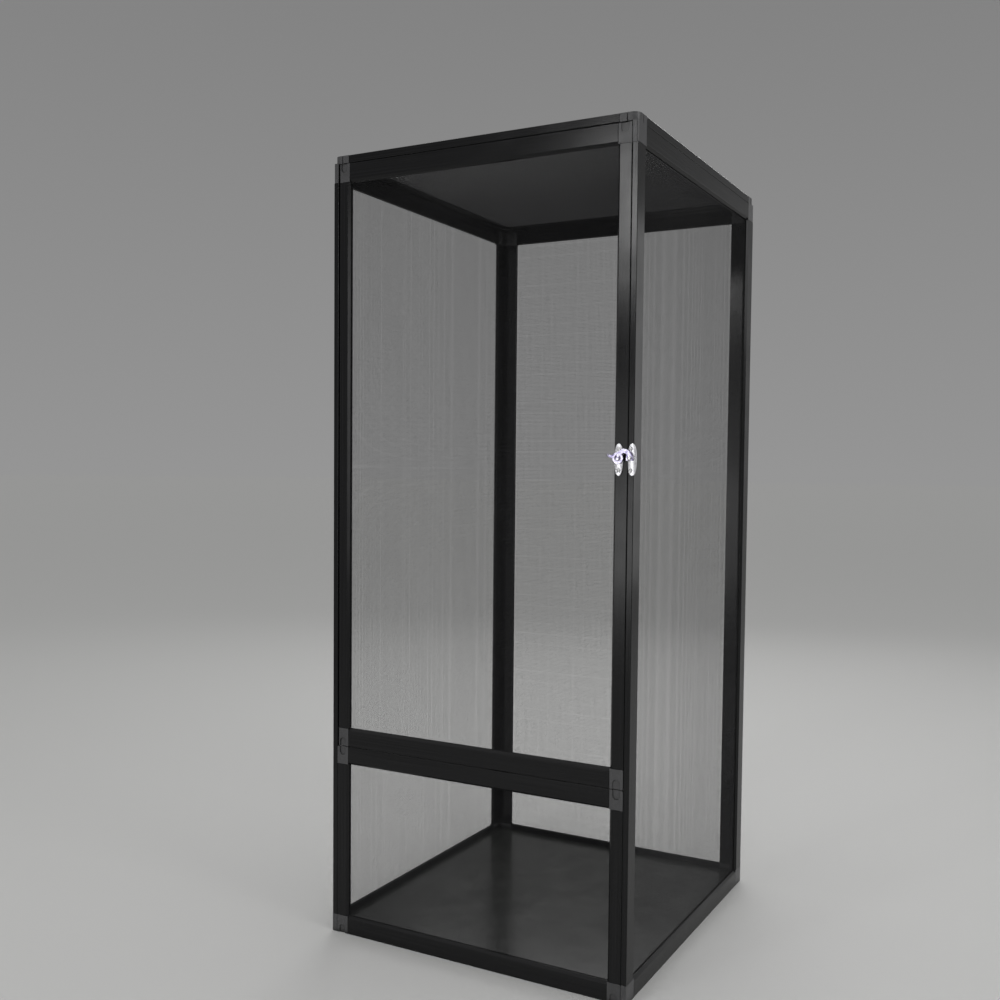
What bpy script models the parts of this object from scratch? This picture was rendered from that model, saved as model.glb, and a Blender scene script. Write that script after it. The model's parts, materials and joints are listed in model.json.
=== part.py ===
# Tall screen-walled cage for reptiles: framed mesh panels, a hinged front door and a hook latch.
# Sizes are in metres. +Z is up, the door looks along -Y and the origin is at the centre of the base.

import math

import bmesh
import bpy
from mathutils import Matrix, Vector, geometry

# Overall size of the frame
CAGE_WIDTH = 0.420
CAGE_DEPTH = 0.420
CAGE_HEIGHT = 1.000

# Framed panels
WALL_DEPTH = 0.007            # thickness of the wall panels, the door and the lower panel
LID_DEPTH = 0.0095            # thickness of the lid panel
RAIL_FACE = 0.023             # width of every rail, and of the side and back stiles
FRONT_STILE_FACE = 0.017      # width of the stiles of the door and the lower panel
LOWER_PANEL_HEIGHT = 0.246    # top of the fixed panel below the door
SEAT_GAP = 0.0003             # clearance between pieces that touch
DOOR_SIDE_GAP = 0.0006        # running gap beside the door
DOOR_END_GAP = 0.0008         # running gap above and below the door

# Aluminium section: a hollow box with an open slot along its inner edge
SECTION_WALL = 0.0012
SLOT_DEPTH = 0.0045
SLOT_WIDTH = 0.0024
SLOT_LIP = 0.0010             # wall between the slot and the inner face
EDGE_CHAMFER = 0.0005
FACE_BEVEL = 0.0028           # slope on the outer face beside the mesh

# Moulded corner pieces
LEG_LENGTH = 0.016
CORNER_ROUND = 0.0018
LID_CORNER_ROUND = 0.0090
GROOVE_PLACE = 0.0130         # from a lid corner's edge to the line round its core
GROOVE_WIDTH = 0.0012
GROOVE_DEPTH = 0.0007
RECESS_WIDTH = 0.0090
RECESS_LENGTH = 0.0110
RECESS_DEPTH = 0.0011

# Mesh sheet, drawn as an open net, with the spline bead that holds it in the slots
SCREEN_THICKNESS = 0.0004
BEAD_WIDTH = 0.0034
NET_PITCH = 0.062             # the net's strands are further apart than the wires of the real mesh
NET_STRAND = 0.0016

# Floor board on the ledges of the bottom corner blocks
BOARD_TOP = 0.0150
BOARD_THICKNESS = 0.0040
LEDGE_LENGTH = 0.0260

# Hinge pins of the door
PIN_RADIUS = 0.0015
PIN_CLEARANCE = 0.0001
PIN_REACH = 0.0090            # how far a pin goes into the door
PIN_HEAD_RADIUS = 0.0024
PIN_HEAD_DEPTH = 0.0012
PIN_COLLAR = 0.0004           # height of the collar that carries the door

# Hook latch
LATCH_HEIGHT = 0.621          # height of the pivot
PLATE_DROP = 0.0018           # from the pivot down to the plates' middle
PLATE_LENGTH = 0.036
PLATE_WIDTH = 0.0105
PLATE_FULLNESS = 0.30         # how much fuller than an oval the plates are towards their ends
PLATE_THICKNESS = 0.0016
LATCH_INSET = 0.0102          # from the edge of the door to the middle of its plate
KEEPER_OVERHANG = 0.0018      # from the peg to the middle of the keeper, which hangs over the side
SCREW_SPACING = 0.0240
SCREW_RADIUS = 0.0011
SCREW_LENGTH = 0.0046
SCREW_HEAD_RADIUS = 0.0021
SCREW_HEAD_DEPTH = 0.0010
SCREW_CLEARANCE = 0.00015
HOOK_THICKNESS = 0.0026
HOOK_BOSS_RADIUS = 0.0066
HOOK_ARM_WIDTH = 0.0050
HOOK_ARCH_START = 0.0008      # from the pivot's middle to the near end of the arch
HOOK_ARCH_RISE = 0.0010       # height of the arch's centre above the pivot
CLAW_NEAR = 0.0044            # from the middle of the peg to the claw's side by the pivot
CLAW_FAR = 0.0035             # and to its far side
CLAW_DROP = 0.0032            # how far the claw reaches below the peg's middle
CLAW_ROUND = 0.0011
POST_RADIUS = 0.0020
POST_CLEARANCE = 0.0001
POST_HEAD_RADIUS = 0.0036
PEG_RADIUS = 0.0015
PEG_CLEARANCE = 0.0003
PEG_HEAD_RADIUS = 0.0026
HEAD_THICKNESS = 0.0011
HEAD_SLOT_WIDTH = 0.0009
HEAD_SLOT_DEPTH = 0.0006
HEAD_SLOT_TURN = 50
KNOB_RADIUS = 0.0019
KNOB_REACH = 0.0122
KNOB_RISE = 0.0028

ROUND_SIDES = 24

HALF_WIDTH = CAGE_WIDTH / 2
HALF_DEPTH = CAGE_DEPTH / 2
WALL_TOP = CAGE_HEIGHT - LID_DEPTH
SIDE_HEIGHT = WALL_TOP - SEAT_GAP
BAY_WIDTH = CAGE_WIDTH - 2 * WALL_DEPTH

# The door, which turns about the middle of its rounded left edge
HINGE_X = -HALF_WIDTH + WALL_DEPTH + DOOR_SIDE_GAP + WALL_DEPTH / 2
HINGE_Y = -HALF_DEPTH + WALL_DEPTH / 2
DOOR_WIDTH = BAY_WIDTH - 2 * DOOR_SIDE_GAP
DOOR_BOTTOM = LOWER_PANEL_HEIGHT + DOOR_END_GAP
DOOR_TOP = WALL_TOP - DOOR_END_GAP

# The latch: places across the door, and layers counted out from the door's face
LATCH_X = HALF_WIDTH - WALL_DEPTH - DOOR_SIDE_GAP - LATCH_INSET
KEEPER_X = HALF_WIDTH - WALL_DEPTH + SEAT_GAP + PLATE_WIDTH / 2 - KEEPER_OVERHANG
PEG_DISTANCE = KEEPER_X - LATCH_X
PLATE_FRONT = SEAT_GAP + PLATE_THICKNESS
HOOK_BACK = PLATE_FRONT + SEAT_GAP
HOOK_FRONT = HOOK_BACK + HOOK_THICKNESS
HEAD_BACK = HOOK_FRONT + SEAT_GAP

# Colour, roughness and metallic value of each finish
FINISHES = {
    "black_aluminium": ((0.022, 0.022, 0.024), 0.36, 0.85),
    "black_plastic": ((0.050, 0.050, 0.052), 0.50, 0.0),
    "black_screen": ((0.020, 0.020, 0.020), 0.60, 0.0),
    "grey_board": ((0.045, 0.046, 0.046), 0.16, 0.0),
    "bright_plate": ((0.78, 0.77, 0.82), 0.16, 1.0),
    "steel": ((0.55, 0.55, 0.56), 0.28, 1.0),
}


def finish(name):
    """The material of one finish, made once and shared."""
    if name in bpy.data.materials:
        return bpy.data.materials[name]
    colour, roughness, metallic = FINISHES[name]
    material = bpy.data.materials.new(name)
    material.use_nodes = True
    shader = material.node_tree.nodes["Principled BSDF"]
    shader.inputs["Base Color"].default_value = (*colour, 1.0)
    shader.inputs["Roughness"].default_value = roughness
    shader.inputs["Metallic"].default_value = metallic
    material.diffuse_color = (*colour, 1.0)
    return material


def axes(across, inward, along, origin=(0, 0, 0)):
    """Matrix that takes local X, Y and Z to the given directions."""
    turn = Matrix((across, inward, along)).transposed().to_4x4()
    return Matrix.Translation(origin) @ turn


def add_object(name, mesh_data, material, parent=None, location=(0, 0, 0), smooth_degrees=None):
    """Close a bmesh into a named object under its parent."""
    bmesh.ops.recalc_face_normals(mesh_data, faces=mesh_data.faces)
    mesh = bpy.data.meshes.new(name)
    mesh_data.to_mesh(mesh)
    mesh_data.free()
    if smooth_degrees is not None:
        mesh.shade_smooth()
        mesh.set_sharp_from_angle(angle=math.radians(smooth_degrees))
    piece = bpy.data.objects.new(name, mesh)
    bpy.context.scene.collection.objects.link(piece)
    if material is not None:
        mesh.materials.append(finish(material))
    piece.parent = parent
    piece.location = location
    return piece


def add_empty(name, location=(0, 0, 0)):
    empty = bpy.data.objects.new(name, None)
    empty.empty_display_size = 0.03
    bpy.context.scene.collection.objects.link(empty)
    empty.location = location
    return empty


def arc(centre, radius, start, end, steps):
    """Points on an arc, in degrees, both ends included."""
    points = []
    for step in range(steps + 1):
        angle = math.radians(start + (end - start) * step / steps)
        points.append((centre[0] + radius * math.cos(angle), centre[1] + radius * math.sin(angle)))
    return points


def circle(centre, radius, sides=ROUND_SIDES):
    return arc(centre, radius, 0, 360, sides)[:-1]


def rectangle(low, high):
    return [(low[0], low[1]), (high[0], low[1]), (high[0], high[1]), (low[0], high[1])]


def counterclockwise(loop):
    area = sum(loop[i - 1][0] * loop[i][1] - loop[i][0] * loop[i - 1][1] for i in range(len(loop)))
    return list(loop) if area > 0 else list(loop)[::-1]


def prism(outlines, height, holes=(), base=0.0):
    """A solid with the joined outlines, less the holes, as its plan from base up to base + height."""
    points, loops = [], []
    for loop in [*outlines, *holes]:
        loops.append(range(len(points), len(points) + len(loop)))
        points += [Vector(point) for point in counterclockwise(loop)]
    flat = geometry.delaunay_2d_cdt(points, [], [list(loop) for loop in loops], 1, 1e-7)
    places, triangles, sources = flat[0], flat[2], flat[5]
    solid = bmesh.new()
    corners = [solid.verts.new((place.x, place.y, base)) for place in places]
    for triangle, inside in zip(triangles, sources):
        if inside and max(inside) < len(outlines):
            solid.faces.new([corners[i] for i in triangle])
    loose = [corner for corner in corners if not corner.link_faces]
    bmesh.ops.delete(solid, geom=loose, context="VERTS")
    grown = bmesh.ops.extrude_face_region(solid, geom=solid.faces[:])["geom"]
    top = [item for item in grown if isinstance(item, bmesh.types.BMVert)]
    bmesh.ops.translate(solid, verts=top, vec=(0, 0, height))
    return solid


def turned(profile, sides=ROUND_SIDES, centre=(0, 0)):
    """A solid of revolution about Z; the profile runs from axis to axis as (radius, height)."""
    solid = bmesh.new()
    rings = []
    for radius, height in profile:
        points = circle(centre, radius, sides) if radius > 0 else [centre]
        rings.append([solid.verts.new((x, y, height)) for x, y in points])
    for low, high in zip(rings, rings[1:]):
        for i in range(sides):
            below = [low[i - 1], low[i]] if len(low) > 1 else low
            above = [high[i], high[i - 1]] if len(high) > 1 else high
            solid.faces.new(below + above)
    return solid


def block(low, high):
    """A box between two corners."""
    low, high = Vector(low), Vector(high)
    solid = bmesh.new()
    bmesh.ops.create_cube(solid, size=1.0)
    bmesh.ops.scale(solid, vec=high - low, verts=solid.verts)
    bmesh.ops.translate(solid, vec=(low + high) / 2, verts=solid.verts)
    return solid


def moved(solid, matrix):
    """The solid carried by a matrix, turned right side out again if it is mirrored."""
    bmesh.ops.transform(solid, matrix=matrix, verts=solid.verts)
    bmesh.ops.recalc_face_normals(solid, faces=solid.faces)
    return solid


def combine(piece, solids, operation):
    """Join solids to a piece, or cut them from it, and keep the result as its mesh."""
    larger = Matrix.Scale(1000, 4)     # cut in millimetres, so that no small face is lost
    piece.data.transform(larger)
    place = piece.matrix_basis.copy()
    piece.matrix_basis = Matrix()
    for solid in solids:
        bmesh.ops.transform(solid, matrix=larger, verts=solid.verts)
        tool = add_object("tool", solid, None, piece.parent)
        tool.hide_render = True
        tool.display_type = "WIRE"
        change = piece.modifiers.new("change", "BOOLEAN")
        change.operation = operation
        change.object = tool
        graph = bpy.context.evaluated_depsgraph_get()
        result = bpy.data.meshes.new_from_object(piece.evaluated_get(graph))
        piece.modifiers.clear()
        spent = [piece.data, tool.data]
        piece.data = result
        result.name = piece.name
        bpy.data.objects.remove(tool)
        for mesh in spent:
            bpy.data.meshes.remove(mesh)
    piece.data.transform(larger.inverted())
    piece.matrix_basis = place
    return piece


def cavity_start(rounded, depth):
    """Where the hollow of a section starts, from its outer edge."""
    return depth / 2 if rounded else SECTION_WALL


def cavity_end(face):
    return face - SLOT_DEPTH - SECTION_WALL


def slot_range(depth):
    """Depth of the two sides of the mesh slot below the outer face."""
    far = depth - SLOT_LIP
    return far - SLOT_WIDTH, far


def section_outline(face, depth, rounded=False):
    """The bar's cross-section: x from its outer edge inward, y from its outer face inward."""
    near, far = slot_range(depth)
    points = [
        (face - FACE_BEVEL, 0),
        (face, FACE_BEVEL),
        (face, near),
        (face - SLOT_DEPTH, near),
        (face - SLOT_DEPTH, far),
        (face, far),
        (face, depth - EDGE_CHAMFER / 2),
        (face - EDGE_CHAMFER / 2, depth),
    ]
    if rounded:
        return points + arc((depth / 2, depth / 2), depth / 2, 90, 270, 10)
    return points + [
        (EDGE_CHAMFER, depth),
        (0, depth - EDGE_CHAMFER),
        (0, EDGE_CHAMFER),
        (EDGE_CHAMFER, 0),
    ]


def bar(name, parent, face, depth, length, matrix, rounded=False):
    """A length of the aluminium section; its local X, Y and Z go where the matrix says."""
    hollow = rectangle(
        (cavity_start(rounded, depth), SECTION_WALL),
        (cavity_end(face), depth - SECTION_WALL),
    )
    solid = prism([section_outline(face, depth, rounded)], length, [hollow])
    smooth = 30 if rounded else None
    return add_object(name, moved(solid, matrix), "black_aluminium", parent, smooth_degrees=smooth)


def net_gaps(low, high):
    """The openings between the strands of a net that spans two corners."""
    sides = []
    for start, end in zip(low, high):
        count = max(round((end - start) / NET_PITCH), 1)
        step = (end - start + NET_STRAND) / count
        sides.append([(start + i * step, start + (i + 1) * step - NET_STRAND) for i in range(count)])
    return [rectangle((x0, z0), (x1, z1)) for x0, x1 in sides[0] for z0, z1 in sides[1]]


def screen(name, parent, face_across, face_up, width, height, depth, origin=(0, 0, 0)):
    """A mesh sheet with its spline bead, for a panel that stands on local Z = 0."""
    near, far = slot_range(depth)
    reach = SLOT_DEPTH - SEAT_GAP
    half = width / 2 - face_across + reach
    low, high = face_up - reach, height - face_up + reach
    ends = (near + SEAT_GAP, far - SEAT_GAP)
    middle = (near + far) / 2
    faces = (middle - SCREEN_THICKNESS / 2, middle + SCREEN_THICKNESS / 2)
    piece = add_object(
        name, moved(block((-half, ends[0], low), (half, ends[1], high)), Matrix.Translation(origin)),
        "black_screen", parent,
    )
    inner = (half - BEAD_WIDTH, low + BEAD_WIDTH, high - BEAD_WIDTH)
    cuts = []
    for start, end in ((ends[0] - SEAT_GAP, faces[0]), (faces[1], ends[1] + SEAT_GAP)):
        cut = block((-inner[0], start, inner[1]), (inner[0], end, inner[2]))
        cuts.append(moved(cut, Matrix.Translation(origin)))
    opening = width / 2 - face_across
    gaps = prism(net_gaps((-opening, face_up), (opening, height - face_up)), ends[1] - ends[0], base=ends[0])
    cuts.append(moved(gaps, axes((1, 0, 0), (0, 0, 1), (0, 1, 0), origin)))
    return combine(piece, cuts, "DIFFERENCE")


def leg(face, depth, start, rounded=False):
    """Low and high corners, across and in depth, of a leg that fits a bar's hollow."""
    low = cavity_start(rounded, depth) + SEAT_GAP
    high = cavity_end(face) - SEAT_GAP
    return (start + low, start + high), (SECTION_WALL + SEAT_GAP, depth - SECTION_WALL - SEAT_GAP)


def corner_piece(name, parent, stile, rail, depth, matrix, rounded=False, pin=False):
    """A flat corner of one panel: x across from its outer edge, z up from its outer end."""
    if rounded:
        edge = arc((depth / 2, depth / 2), depth / 2, 90, 270, 10)
        outline = edge + [(stile, 0), (stile, depth)]
        body = prism([outline], rail)
    else:
        outline = arc((CORNER_ROUND, CORNER_ROUND), CORNER_ROUND, 180, 270, 4)
        outline += [(stile, 0), (stile, rail), (0, rail)]
        body = moved(prism([outline], depth), axes((1, 0, 0), (0, 0, 1), (0, 1, 0)))
    piece = add_object(name, body, "black_plastic", parent)
    overlap = CORNER_ROUND / 2
    (x0, x1), (y0, y1) = leg(stile, depth, 0, rounded)
    (z0, z1), _ = leg(rail, depth, 0)
    legs = [
        block((x0, y0, rail - overlap), (x1, y1, rail + LEG_LENGTH)),
        block((stile - overlap, y0, z0), (stile + LEG_LENGTH, y1, z1)),
    ]
    combine(piece, legs, "UNION")
    near, far = slot_range(depth)
    spare = SLOT_DEPTH / 4
    cuts = [block(
        (stile - SLOT_DEPTH, near, rail - SLOT_DEPTH),
        (stile + spare, far, rail + spare),
    )]
    cuts.append(recess_cut(stile / 2, 0))
    if pin:
        bore = circle((depth / 2, depth / 2), PIN_RADIUS + PIN_CLEARANCE)
        hole = prism([bore], PIN_REACH * 2, base=-PIN_REACH)
        cuts.append(hole)
    combine(piece, cuts, "DIFFERENCE")
    moved_mesh(piece, matrix)
    return piece


def recess_cut(centre, end):
    """The shallow U in a corner's outer face, open at its outer end."""
    half = RECESS_WIDTH / 2
    outline = [(centre + half, end - half), *arc((centre, end + RECESS_LENGTH - half), half, 0, 180, 10)]
    outline.append((centre - half, end - half))
    cut = prism([outline], 2 * RECESS_DEPTH, base=-RECESS_DEPTH)
    return moved(cut, axes((1, 0, 0), (0, 0, 1), (0, 1, 0)))


def moved_mesh(piece, matrix):
    """Carry a finished mesh by a matrix and turn its faces out."""
    solid = bmesh.new()
    solid.from_mesh(piece.data)
    moved(solid, matrix)
    solid.to_mesh(piece.data)
    solid.free()


def panel_bars(names, parent, stile, rail, width, low, high, depth, rounded_left=False):
    """Stiles and rails of a panel in its own plane, standing between two heights."""
    half = width / 2
    stile_length = high - low - 2 * rail - 2 * SEAT_GAP
    rail_length = width - 2 * stile - 2 * SEAT_GAP
    foot = low + rail + SEAT_GAP
    left, right, bottom, top = names
    bar(left, parent, stile, depth, stile_length,
        axes((1, 0, 0), (0, 1, 0), (0, 0, 1), (-half, 0, foot)), rounded_left)
    bar(right, parent, stile, depth, stile_length,
        axes((-1, 0, 0), (0, 1, 0), (0, 0, 1), (half, 0, foot)))
    bar(bottom, parent, rail, depth, rail_length,
        axes((0, 0, 1), (0, 1, 0), (1, 0, 0), (-half + stile + SEAT_GAP, 0, low)))
    bar(top, parent, rail, depth, rail_length,
        axes((0, 0, -1), (0, 1, 0), (1, 0, 0), (-half + stile + SEAT_GAP, 0, high)))


def flat_corners(prefix, parent, stile, rail, width, low, high, depth, hinge_side=False):
    """The four corner pieces of a panel that stands by itself."""
    half = width / 2
    for side, x, dx in (("left", -half, 1), ("right", half, -1)):
        for level, z, dz in (("bottom", low, 1), ("top", high, -1)):
            matrix = axes((dx, 0, 0), (0, 1, 0), (0, 0, dz), (x, 0, z))
            hinged = hinge_side and side == "left"
            corner_piece(f"{prefix}_{level}_{side}_corner", parent, stile, rail, depth, matrix,
                         rounded=hinged, pin=hinged)


def cage_corner(name, parent, matrix, top, pin_hole=False):
    """A three-way corner block: x, y and z run inward from the cage's corner."""
    rail_start = LID_DEPTH + SEAT_GAP if top else 0.0
    plate_end = rail_start + RAIL_FACE
    overlap = CORNER_ROUND / 2
    if top:
        outline = arc((LID_CORNER_ROUND, LID_CORNER_ROUND), LID_CORNER_ROUND, 180, 270, 8)
        outline += [(RAIL_FACE, 0), (RAIL_FACE, RAIL_FACE), (0, RAIL_FACE)]
        piece = add_object(name, prism([outline], LID_DEPTH), "black_plastic", parent)
    else:
        plate = block((0, 0, 0), (WALL_DEPTH, RAIL_FACE, plate_end))
        piece = add_object(name, plate, "black_plastic", parent)
    additions = []
    if top:
        edge = arc((CORNER_ROUND, CORNER_ROUND), CORNER_ROUND, 180, 270, 4)
        edge += [(WALL_DEPTH, 0), (WALL_DEPTH, RAIL_FACE), (0, RAIL_FACE)]
        plate_start = LID_DEPTH - overlap
        additions.append(prism([edge], plate_end - plate_start, base=plate_start))
    (b0, b1), (a0, a1) = leg(RAIL_FACE, WALL_DEPTH, 0)
    (c0, c1), _ = leg(RAIL_FACE, WALL_DEPTH, rail_start)
    additions.append(block((a0, b0, plate_end - overlap), (a1, b1, plate_end + LEG_LENGTH)))
    additions.append(block((a0, RAIL_FACE - overlap, c0), (a1, RAIL_FACE + LEG_LENGTH, c1)))
    near, far = slot_range(WALL_DEPTH)
    spare = SLOT_DEPTH / 4
    cuts = [block(
        (near, RAIL_FACE - SLOT_DEPTH, plate_end - SLOT_DEPTH),
        (far, RAIL_FACE + spare, plate_end + spare),
    )]
    if top:
        (w0, w1), (d0, d1) = leg(RAIL_FACE, LID_DEPTH, 0)
        additions.append(block((RAIL_FACE - overlap, w0, d0), (RAIL_FACE + LEG_LENGTH, w1, d1)))
        additions.append(block((w0, RAIL_FACE - overlap, d0), (w1, RAIL_FACE + LEG_LENGTH, d1)))
        near, far = slot_range(LID_DEPTH)
        cuts.append(block(
            (RAIL_FACE - SLOT_DEPTH, RAIL_FACE - SLOT_DEPTH, near),
            (RAIL_FACE + spare, RAIL_FACE + spare, far),
        ))
    else:
        ledge_top = BOARD_TOP - BOARD_THICKNESS - SEAT_GAP
        additions.append(block(
            (WALL_DEPTH - overlap, WALL_DEPTH + SEAT_GAP, 0),
            (WALL_DEPTH + LEDGE_LENGTH, RAIL_FACE, ledge_top),
        ))
    combine(piece, additions, "UNION")
    if top:
        line = rectangle((GROOVE_PLACE, -GROOVE_DEPTH), (GROOVE_PLACE + GROOVE_WIDTH, GROOVE_DEPTH))
        for groove in (line, [(y, x) for x, y in line]):
            cuts.append(prism([groove], 2 * LID_DEPTH, base=-LID_DEPTH))
    if pin_hole:
        hole_radius = PIN_RADIUS + PIN_CLEARANCE
        seat_radius = PIN_HEAD_RADIUS + PIN_CLEARANCE
        centre = (WALL_DEPTH + DOOR_SIDE_GAP + WALL_DEPTH / 2, WALL_DEPTH / 2)
        seat_depth = PIN_HEAD_DEPTH + SEAT_GAP
        cuts.append(prism([circle(centre, hole_radius)], 2 * LID_DEPTH, base=-LID_DEPTH / 2))
        cuts.append(prism([circle(centre, seat_radius)], 2 * seat_depth, base=-seat_depth))
    combine(piece, cuts, "DIFFERENCE")
    moved_mesh(piece, matrix)
    return piece


def side_panel(side):
    """One side wall, drawn with its outer face on local Y = 0 and turned into place."""
    sign = -1 if side == "left" else 1
    hub = add_empty(f"{side}_panel", (sign * HALF_WIDTH, 0, 0))
    hub.rotation_euler = (0, 0, sign * math.radians(90))
    first, second = ("back", "front") if side == "left" else ("front", "back")
    names = [f"{side}_{first}_stile", f"{side}_{second}_stile", f"{side}_bottom_rail", f"{side}_top_rail"]
    panel_bars(names, hub, RAIL_FACE, RAIL_FACE, CAGE_DEPTH, 0.0, SIDE_HEIGHT, WALL_DEPTH)
    screen(f"{side}_screen", hub, RAIL_FACE, RAIL_FACE, CAGE_DEPTH, SIDE_HEIGHT, WALL_DEPTH)
    return hub


def back_panel():
    hub = add_empty("back_panel", (0, HALF_DEPTH, 0))
    hub.rotation_euler = (0, 0, math.radians(180))
    width = BAY_WIDTH - 2 * SEAT_GAP
    names = ["back_right_stile", "back_left_stile", "back_bottom_rail", "back_top_rail"]
    panel_bars(names, hub, RAIL_FACE, RAIL_FACE, width, 0.0, SIDE_HEIGHT, WALL_DEPTH)
    flat_corners("back", hub, RAIL_FACE, RAIL_FACE, width, 0.0, SIDE_HEIGHT, WALL_DEPTH)
    screen("back_screen", hub, RAIL_FACE, RAIL_FACE, width, SIDE_HEIGHT, WALL_DEPTH)


def lower_panel():
    """The fixed panel below the door; its upper left corner holds the lower hinge pin."""
    hub = add_empty("lower_panel", (0, -HALF_DEPTH, 0))
    width = BAY_WIDTH - 2 * SEAT_GAP
    top = LOWER_PANEL_HEIGHT
    names = ["lower_left_stile", "lower_right_stile", "lower_bottom_rail", "lower_top_rail"]
    panel_bars(names, hub, FRONT_STILE_FACE, RAIL_FACE, width, 0.0, top, WALL_DEPTH)
    flat_corners("lower", hub, FRONT_STILE_FACE, RAIL_FACE, width, 0.0, top, WALL_DEPTH)
    bore = circle((HINGE_X, WALL_DEPTH / 2), PIN_RADIUS + PIN_CLEARANCE)
    hole = prism([bore], 2 * PIN_REACH, base=top - PIN_REACH - SEAT_GAP)
    combine(bpy.data.objects["lower_top_left_corner"], [hole], "DIFFERENCE")
    screen("lower_screen", hub, FRONT_STILE_FACE, RAIL_FACE, width, top, WALL_DEPTH)


def lid_panel():
    """The top panel lies on the walls, between the four top corner blocks."""
    hub = add_empty("lid_panel", (0, -HALF_DEPTH, CAGE_HEIGHT))
    hub.rotation_euler = (math.radians(-90), 0, 0)
    names = ["lid_left_rail", "lid_right_rail", "lid_front_rail", "lid_back_rail"]
    panel_bars(names, hub, RAIL_FACE, RAIL_FACE, CAGE_WIDTH, 0.0, CAGE_DEPTH, LID_DEPTH)
    screen("lid_screen", hub, RAIL_FACE, RAIL_FACE, CAGE_WIDTH, CAGE_DEPTH, LID_DEPTH)


def cage_corners():
    for side, sx in (("left", -1), ("right", 1)):
        for face, sy in (("front", -1), ("back", 1)):
            for level, sz, z in (("bottom", 1, 0.0), ("top", -1, CAGE_HEIGHT)):
                matrix = axes((-sx, 0, 0), (0, -sy, 0), (0, 0, sz), (sx * HALF_WIDTH, sy * HALF_DEPTH, z))
                top = level == "top"
                cage_corner(f"cage_{level}_{face}_{side}_corner", None, matrix, top,
                            pin_hole=top and side == "left" and face == "front")


def floor_board():
    """The board lies on the ledges of the bottom corner blocks."""
    half_x = HALF_WIDTH - WALL_DEPTH - SEAT_GAP
    half_y = HALF_DEPTH - WALL_DEPTH - SEAT_GAP
    chamfer = EDGE_CHAMFER
    outline = [
        (-half_y + chamfer, 0), (half_y - chamfer, 0), (half_y, chamfer),
        (half_y, BOARD_THICKNESS - chamfer), (half_y - chamfer, BOARD_THICKNESS),
        (-half_y + chamfer, BOARD_THICKNESS), (-half_y, BOARD_THICKNESS - chamfer), (-half_y, chamfer),
    ]
    solid = prism([outline], 2 * half_x)
    matrix = axes((0, 1, 0), (0, 0, 1), (1, 0, 0), (-half_x, 0, BOARD_TOP - BOARD_THICKNESS))
    add_object("floor_board", moved(solid, matrix), "grey_board")


def door_panel():
    """The door is drawn in the front plane and hangs from an empty on its hinge axis."""
    axis = add_empty("door_axis", (HINGE_X, HINGE_Y, 0))
    hub = add_empty("door_panel", (-HINGE_X, -HINGE_Y - HALF_DEPTH, 0))
    hub.parent = axis
    names = ["door_hinge_stile", "door_latch_stile", "door_bottom_rail", "door_top_rail"]
    panel_bars(names, hub, FRONT_STILE_FACE, RAIL_FACE, DOOR_WIDTH, DOOR_BOTTOM, DOOR_TOP, WALL_DEPTH,
               rounded_left=True)
    flat_corners("door", hub, FRONT_STILE_FACE, RAIL_FACE, DOOR_WIDTH, DOOR_BOTTOM, DOOR_TOP, WALL_DEPTH,
                 hinge_side=True)
    screen_height = DOOR_TOP - DOOR_BOTTOM
    screen("door_screen", hub, FRONT_STILE_FACE, RAIL_FACE, DOOR_WIDTH, screen_height, WALL_DEPTH,
           origin=(0, 0, DOOR_BOTTOM))
    return axis


def hinge_pins():
    """One pin drops through the lid's corner block, the other stands in the lower panel's corner."""
    reach = PIN_REACH - SEAT_GAP
    foot = DOOR_TOP - reach
    top = CAGE_HEIGHT - SEAT_GAP
    neck = top - PIN_HEAD_DEPTH
    upper = turned([
        (0, foot), (PIN_RADIUS * 0.7, foot), (PIN_RADIUS, foot + PIN_RADIUS * 0.5),
        (PIN_RADIUS, neck), (PIN_HEAD_RADIUS, neck), (PIN_HEAD_RADIUS, top), (0, top),
    ])
    add_object("upper_hinge_pin", upper, "steel", None, (HINGE_X, HINGE_Y, 0), smooth_degrees=35)
    foot = LOWER_PANEL_HEIGHT - reach
    top = DOOR_BOTTOM + reach
    collar = LOWER_PANEL_HEIGHT + (DOOR_END_GAP - PIN_COLLAR) / 2
    lower = turned([
        (0, foot), (PIN_RADIUS, foot), (PIN_RADIUS, collar), (PIN_HEAD_RADIUS, collar),
        (PIN_HEAD_RADIUS, collar + PIN_COLLAR), (PIN_RADIUS, collar + PIN_COLLAR),
        (PIN_RADIUS, top - PIN_RADIUS * 0.5), (PIN_RADIUS * 0.7, top), (0, top),
    ])
    add_object("lower_hinge_pin", lower, "steel", None, (HINGE_X, HINGE_Y, 0), smooth_degrees=35)


def plate_outline(middle):
    """A long oval plate about a given middle, a little fuller towards its ends than a true oval."""
    points = []
    for x, y in circle((0, 0), 1, 2 * ROUND_SIDES):
        width = PLATE_WIDTH / 2 * (1 + PLATE_FULLNESS * y * y)
        points.append((middle + width * x, PLATE_LENGTH / 2 * y - PLATE_DROP))
    return points


def screw_places():
    return [(0, SCREW_SPACING / 2 - PLATE_DROP), (0, -SCREW_SPACING / 2 - PLATE_DROP)]


def headed_post(radius, head_radius, foot):
    """A post with a flat head in front of the hook, turned in one piece."""
    top = HEAD_BACK + HEAD_THICKNESS
    return turned([
        (0, foot), (radius, foot), (radius, HEAD_BACK), (head_radius, HEAD_BACK),
        (head_radius, top - HEAD_THICKNESS * 0.4), (head_radius * 0.85, top), (0, top),
    ])


def head_slot(head_radius):
    """The cut for a screwdriver across a post's head."""
    top = HEAD_BACK + HEAD_THICKNESS
    reach = head_radius * 1.5
    half = HEAD_SLOT_WIDTH / 2
    cut = block((-reach, -half, top - HEAD_SLOT_DEPTH), (reach, half, top + HEAD_SLOT_DEPTH))
    return moved(cut, Matrix.Rotation(math.radians(HEAD_SLOT_TURN), 4, "Z"))


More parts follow.
